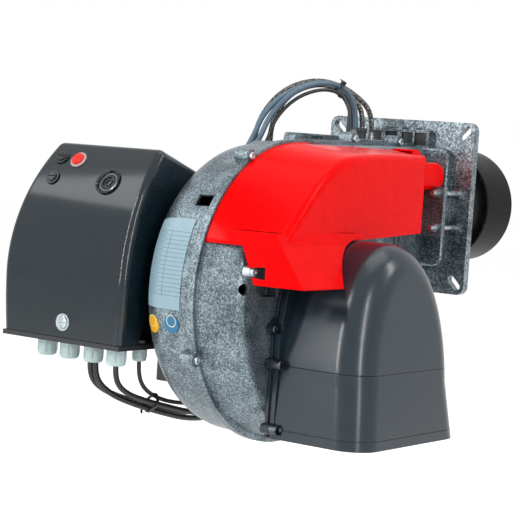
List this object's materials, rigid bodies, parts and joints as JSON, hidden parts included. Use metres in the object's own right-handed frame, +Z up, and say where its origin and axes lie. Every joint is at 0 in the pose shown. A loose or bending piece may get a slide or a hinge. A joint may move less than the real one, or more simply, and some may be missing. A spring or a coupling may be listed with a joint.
{
  "type": "diesel burner",
  "caption": "Oil burner with a side fan in a cast housing, blast tube and boiler flange, air hood with damper, control box, oil pump and moulded cover.",
  "frame": {"origin": "centre of the boiler side face of the mounting flange, on the blast tube's axis", "axes": "+Y along the blast tube, the way the flame leaves; +X towards the air intake side; +Z up"},
  "size_m": [0.513, 0.6975, 0.4779],
  "materials": {
    "cast_aluminium": "sand-cast, speckled, satin",
    "zinc": "zinc plated",
    "plain_steel": "satin",
    "black_steel": "satin black paint",
    "brass_metal": "machined",
    "ceramic": "glazed ceramic",
    "black_rubber": "matte",
    "blue_grey_rubber": "satin sheath",
    "braided_steel": "woven wire braid",
    "black_plastic": "fine texture",
    "grey_plastic": "satin moulded",
    "charcoal_gloss": "gloss moulded",
    "red_gloss": "gloss moulded",
    "pale_plastic": "plain moulded",
    "motor_grey": "satin paint",
    "label_film": "printed film",
    "sticker_film": "printed film"
  },
  "bodies": {
    "burner": {"boiler_flange": "cast_aluminium", "line_grommets": "black_rubber", "flange_studs": "zinc", "blast_tube": "black_steel", "swirl_disc": "plain_steel", "nozzle_holder": "brass_metal", "nozzles": "brass_metal", "ignition_electrodes": "ceramic", "electrode_clamp": "plain_steel", "head_cover": "cast_aluminium", "lid_fittings": "plain_steel", "pressure_tap": "black_plastic", "left_housing": "cast_aluminium", "right_housing": "cast_aluminium", "housing_screws": "zinc", "red_cover": "red_gloss", "cover_screws": "zinc", "ignition_transformer": "black_plastic", "intake_adapter": "grey_plastic", "intake_hood": "grey_plastic", "intake_skirt": "grey_plastic", "intake_bolts": "black_steel", "ram_cylinder": "plain_steel", "motor_body": "motor_grey", "motor_end_bell": "motor_grey", "motor_screws": "zinc", "motor_terminal_box": "black_plastic", "pump_bracket": "cast_aluminium", "fuel_pump": "cast_aluminium", "outlet_fittings": "brass_metal", "solenoid_valves": "black_plastic", "control_box_base": "black_plastic", "control_box_cover": "charcoal_gloss", "control_unit": "black_plastic", "reset_bezel": "black_plastic", "fuse_caps": "black_plastic", "ringed_plug": "charcoal_gloss", "lid_screw": "zinc", "cable_glands": "pale_plastic", "rating_panel": "label_film", "round_stickers": "sticker_film", "grey_cable_1": "blue_grey_rubber", "grey_cable_2": "blue_grey_rubber", "oil_hose_1": "braided_steel", "oil_hose_2": "braided_steel", "signal_lead": "black_rubber", "bottom_lead_1": "black_rubber", "bottom_lead_2": "black_rubber", "bottom_lead_3": "black_rubber", "bottom_lead_4": "black_rubber"},
    "rotor": {"motor_shaft": "plain_steel", "fan_wheel": "zinc", "fan_bolt": "zinc", "pump_coupling": "black_plastic", "pump_spindle": "plain_steel"},
    "reset": {"reset_button": "red_gloss"},
    "damper": {"damper_flap": "zinc", "damper_lever": "zinc"},
    "ram": {"ram_rod": "zinc"}
  },
  "joints": [
    {"name": "fan_spin", "type": "hinge", "parent": "burner", "child": "rotor", "pos_m": [0, -0.314, -0.115], "axis": [1, 0, 0], "continuous": true},
    {"name": "reset_press", "type": "slide", "parent": "burner", "child": "reset", "axis": [0, 0.7881, -0.6155], "range_m": [0, 0.003], "stiffness_N_per_m": 600, "springref_m": -0.002},
    {"name": "damper_turn", "type": "hinge", "parent": "burner", "child": "damper", "pos_m": [0.16, -0.297, -0.228], "axis": [0, -1, 0], "range_deg": [0, 75]},
    {"name": "ram_slide", "type": "slide", "parent": "burner", "child": "ram", "axis": [0, 0, -1], "range_m": [0, 0.0285]}
  ],
  "couplings": [
    {"joint": "ram_slide", "follows": "damper_turn", "m_per_rad": 0.0204}
  ]
}
